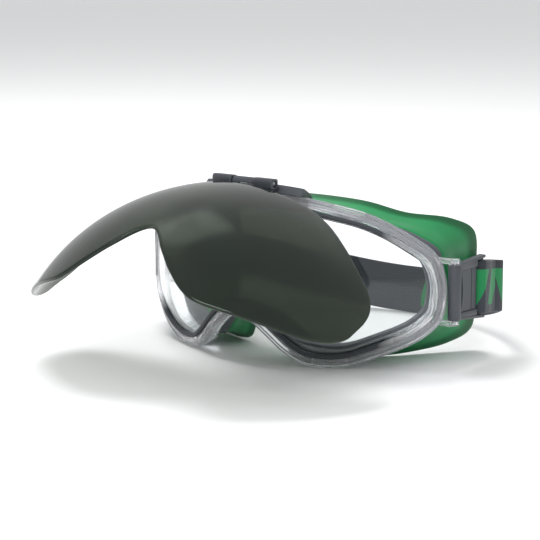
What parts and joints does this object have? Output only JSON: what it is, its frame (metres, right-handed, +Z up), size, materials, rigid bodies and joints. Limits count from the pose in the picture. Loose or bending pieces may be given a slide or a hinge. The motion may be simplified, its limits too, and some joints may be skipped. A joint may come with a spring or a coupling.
{
  "type": "welding goggles",
  "caption": "Wrap-round clear safety goggles with a flip-up dark welding filter, a soft face flange and an elastic head strap.",
  "frame": {"origin": "bottom centre of the bounding box: on the surface it stands on, midway across and front to back", "axes": "+Z up, -Y the way the wearer looks, +X to the wearer's left"},
  "size_m": [0.1798, 0.2152, 0.084],
  "materials": {
    "clear_frame": "clear polycarbonate, polished",
    "lens": "clear, coated polycarbonate",
    "filter": "dark green-grey filter, polished",
    "dark_plastic": "fine-textured dark grey",
    "soft_grey": "satin soft elastomer",
    "soft_green": "satin soft elastomer",
    "steel": "plain turned pin",
    "webbing": "woven elastic with a green pattern"
  },
  "bodies": {
    "goggles": {"frame_shell": "clear_frame", "clear_lens": "lens", "lens_gasket": "dark_plastic", "seal_body": "soft_grey", "face_flange": "soft_green", "vent_insert_top_left": "clear_frame", "vent_insert_top_right": "clear_frame", "vent_insert_bottom_left": "clear_frame", "vent_insert_bottom_right": "clear_frame", "hinge_base": "dark_plastic", "hinge_pin": "steel", "clip_pin_left": "steel", "clip_pin_right": "steel", "head_strap": "webbing"},
    "visor": {"visor_carrier": "dark_plastic", "filter_visor": "filter"},
    "clip_left": {"strap_clip_left": "dark_plastic"},
    "clip_right": {"strap_clip_right": "dark_plastic"}
  },
  "joints": [
    {"name": "visor_flip", "type": "hinge", "parent": "goggles", "child": "visor", "pos_m": [0, -0.02413, 0.0813], "axis": [-1, 0, 0], "range_deg": [-67.5, 35]},
    {"name": "clip_left_pivot", "type": "hinge", "parent": "goggles", "child": "clip_left", "pos_m": [0.0859, 0.01677, 0.0345], "axis": [0, 0, 1], "range_deg": [-12, 8], "deforming": ["head_strap"]},
    {"name": "clip_right_pivot", "type": "hinge", "parent": "goggles", "child": "clip_right", "pos_m": [-0.0859, 0.01677, 0.0345], "axis": [0, 0, -1], "range_deg": [-12, 8], "deforming": ["head_strap"]}
  ]
}
